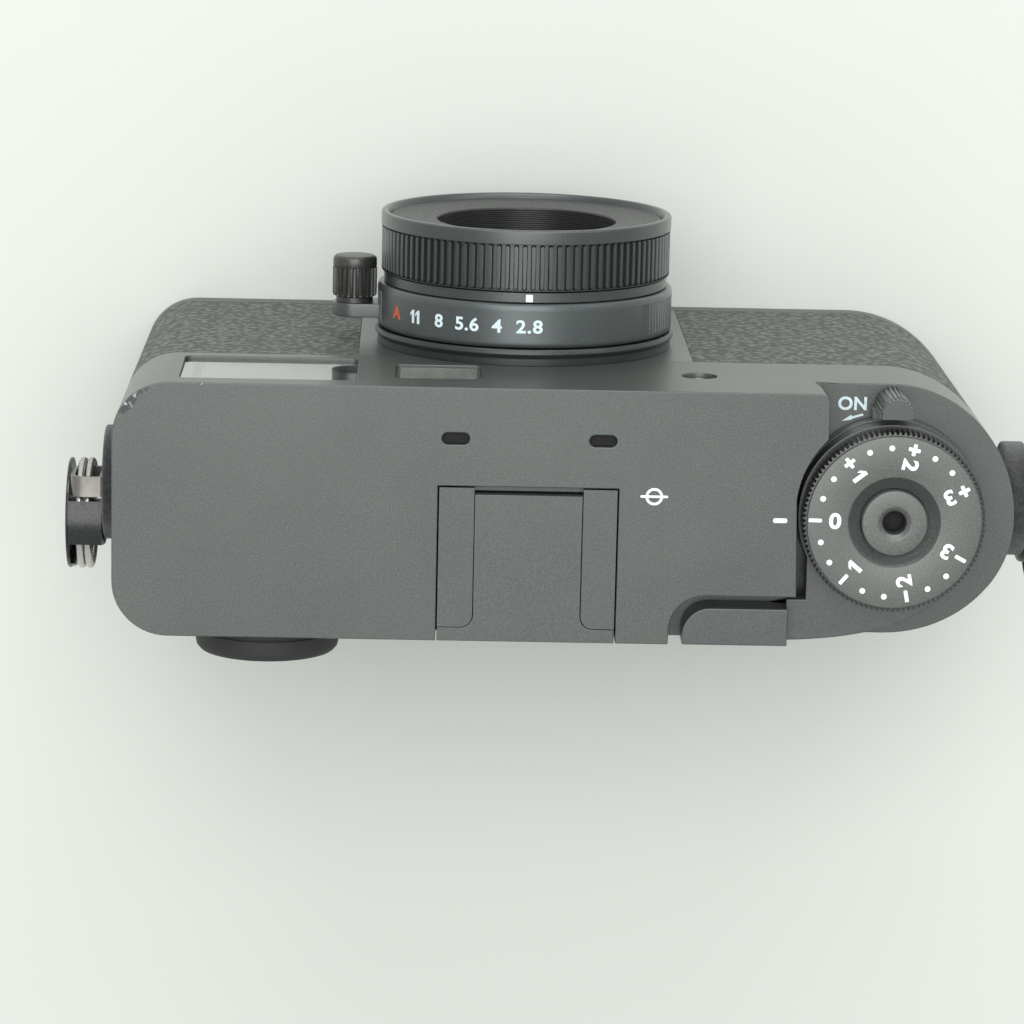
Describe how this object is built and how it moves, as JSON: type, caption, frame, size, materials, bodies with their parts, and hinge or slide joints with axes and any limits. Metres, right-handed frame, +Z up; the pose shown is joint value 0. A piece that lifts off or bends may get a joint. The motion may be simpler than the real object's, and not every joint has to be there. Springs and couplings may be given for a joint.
{
  "type": "compact half frame camera",
  "caption": "Compact half frame style camera with a fixed prime lens, optical finder, exposure dial and frame-advance lever.",
  "frame": {"origin": "mouth of the tripod socket in the base plane, under the lens axis, at mid thickness", "axes": "+Z up through the top plate, -Y out of the lens, +X towards the user's left hand"},
  "size_m": [0.1183, 0.0499, 0.0643],
  "materials": {
    "top_paint": "fine sparkle satin paint",
    "shoe_metal": "satin",
    "shoe_cover_plastic": "fine matte texture",
    "body_plastic": "satin",
    "leatherette": "pebbled grain",
    "panel_paint": "satin",
    "base_paint": "satin",
    "rubber_grip": "fine texture",
    "steel": "satin",
    "chassis": "cast",
    "circuit": "solder mask",
    "sensor_glass": "coated",
    "battery_wrap": "printed wrap",
    "card_plastic": "satin",
    "black_glass": "polished",
    "clear_glass": "coated",
    "black_plastic": "fine texture",
    "flash_lens": "diffusing",
    "lamp_lens": "smoked",
    "ring_metal": "satin anodised look",
    "optical_glass": "coated",
    "dial_metal": "fine blasted satin",
    "button_metal": "fine blasted satin",
    "lever_metal": "satin",
    "felt": "felted",
    "connector_steel": "plated"
  },
  "bodies": {
    "root": {"top_cover": "top_paint", "front_shell": "body_plastic", "leather_left": "leatherette", "leather_right": "leatherette", "front_panel": "panel_paint", "rear_cover": "body_plastic", "bottom_cover": "base_paint", "base_screws": "steel", "thumb_grip": "rubber_grip", "chassis_plate": "chassis", "tripod_socket": "steel", "main_board": "circuit", "sensor_board": "circuit", "image_sensor": "sensor_glass", "battery": "battery_wrap", "memory_card": "card_plastic", "display_panel": "black_plastic", "display_glass": "black_glass", "info_display_glass": "black_glass", "usb_connector": "connector_steel", "microphones": "black_plastic", "finder_window": "clear_glass", "finder_tunnel": "black_plastic", "finder_lens": "clear_glass", "eyepiece_ring": "rubber_grip", "eyepiece_lens": "clear_glass", "flash_window": "flash_lens", "flash_module": "flash_lens", "focus_lamp": "lamp_lens", "lens_flange": "panel_paint", "lens_barrel": "ring_metal", "index_ring": "ring_metal", "lens_bezel": "ring_metal", "name_ring": "black_plastic", "front_lens": "optical_glass", "iris_unit": "black_plastic", "rear_lens_group": "optical_glass", "accessory_shoe": "shoe_metal", "dial_post": "steel", "door_pins": "steel", "felt_discs": "felt", "strap_lugs": "steel"},
    "shoe_cover": {"shoe_cover": "shoe_cover_plastic"},
    "power_lever": {"power_lever": "lever_metal"},
    "frame_lever": {"frame_lever": "lever_metal"},
    "exposure_dial": {"exposure_dial": "dial_metal"},
    "shutter_button": {"shutter_button": "button_metal", "button_spring": "steel"},
    "aperture_ring": {"aperture_ring": "ring_metal", "aperture_knob": "ring_metal"},
    "focus_ring": {"focus_ring": "ring_metal"},
    "playback_button": {"playback_button": "black_plastic"},
    "menu_button": {"menu_button": "black_plastic"},
    "battery_door": {"battery_door": "body_plastic"},
    "door_latch": {"door_latch": "black_plastic"},
    "port_door": {"port_door": "body_plastic"},
    "strap_ring_left": {"split_ring_left": "steel", "ring_cover_left": "black_plastic"},
    "strap_ring_right": {"split_ring_right": "steel", "ring_cover_right": "black_plastic"}
  },
  "joints": [
    {"name": "shoe_cover_slide", "type": "slide", "parent": "root", "child": "shoe_cover", "axis": [0, 1, 0], "range_m": [0, 0.02]},
    {"name": "power_lever_turn", "type": "hinge", "parent": "root", "child": "power_lever", "pos_m": [-0.04257, -0.00023, 0.0562], "axis": [0, 0, 1], "range_deg": [0, 22]},
    {"name": "frame_lever_swing", "type": "hinge", "parent": "root", "child": "frame_lever", "pos_m": [-0.04257, -0.00023, 0.0593], "axis": [0, 0, 1], "range_deg": [0, 110], "stiffness_Nm_per_rad": 0.004, "springref_deg": -11.46},
    {"name": "exposure_dial_turn", "type": "hinge", "parent": "root", "child": "exposure_dial", "pos_m": [-0.04257, -0.00023, 0.0622], "axis": [0, 0, 1], "range_deg": [-154.3, 154.3]},
    {"name": "shutter_press", "type": "slide", "parent": "root", "child": "shutter_button", "axis": [0, 0, -1], "range_m": [0, 0.0008], "stiffness_N_per_m": 600, "springref_m": -0.0004},
    {"name": "aperture_turn", "type": "hinge", "parent": "root", "child": "aperture_ring", "pos_m": [0, -0.01975, 0.0298], "axis": [0, -1, 0], "range_deg": [0, 63]},
    {"name": "focus_turn", "type": "hinge", "parent": "root", "child": "focus_ring", "pos_m": [0, -0.0266, 0.0298], "axis": [0, -1, 0], "range_deg": [-60, 60]},
    {"name": "playback_press", "type": "slide", "parent": "root", "child": "playback_button", "axis": [0, -1, 0], "range_m": [0, 0.0004], "stiffness_N_per_m": 500, "springref_m": -0.0003},
    {"name": "menu_press", "type": "slide", "parent": "root", "child": "menu_button", "axis": [0, -1, 0], "range_m": [0, 0.0004], "stiffness_N_per_m": 500, "springref_m": -0.0003},
    {"name": "battery_door_hinge", "type": "hinge", "parent": "root", "child": "battery_door", "pos_m": [-0.02, 0.002, 0.0006], "axis": [0, -1, 0], "range_deg": [0, 95]},
    {"name": "door_latch_slide", "type": "slide", "parent": "battery_door", "child": "door_latch", "axis": [-1, 0, 0], "range_m": [0, 0.0024]},
    {"name": "port_door_hinge", "type": "hinge", "parent": "root", "child": "port_door", "pos_m": [0.0475, -0.0049, 0.018], "axis": [0, 0, -1], "range_deg": [0, 100]},
    {"name": "strap_ring_left_swing", "type": "hinge", "parent": "root", "child": "strap_ring_left", "pos_m": [0.05185, -0.0002, 0.048], "axis": [1, 0, 0], "range_deg": [-113.5, 0]},
    {"name": "strap_ring_right_swing", "type": "hinge", "parent": "root", "child": "strap_ring_right", "pos_m": [-0.06155, -0.0002, 0.048], "axis": [1, 0, 0], "range_deg": [-113.5, 0]}
  ]
}
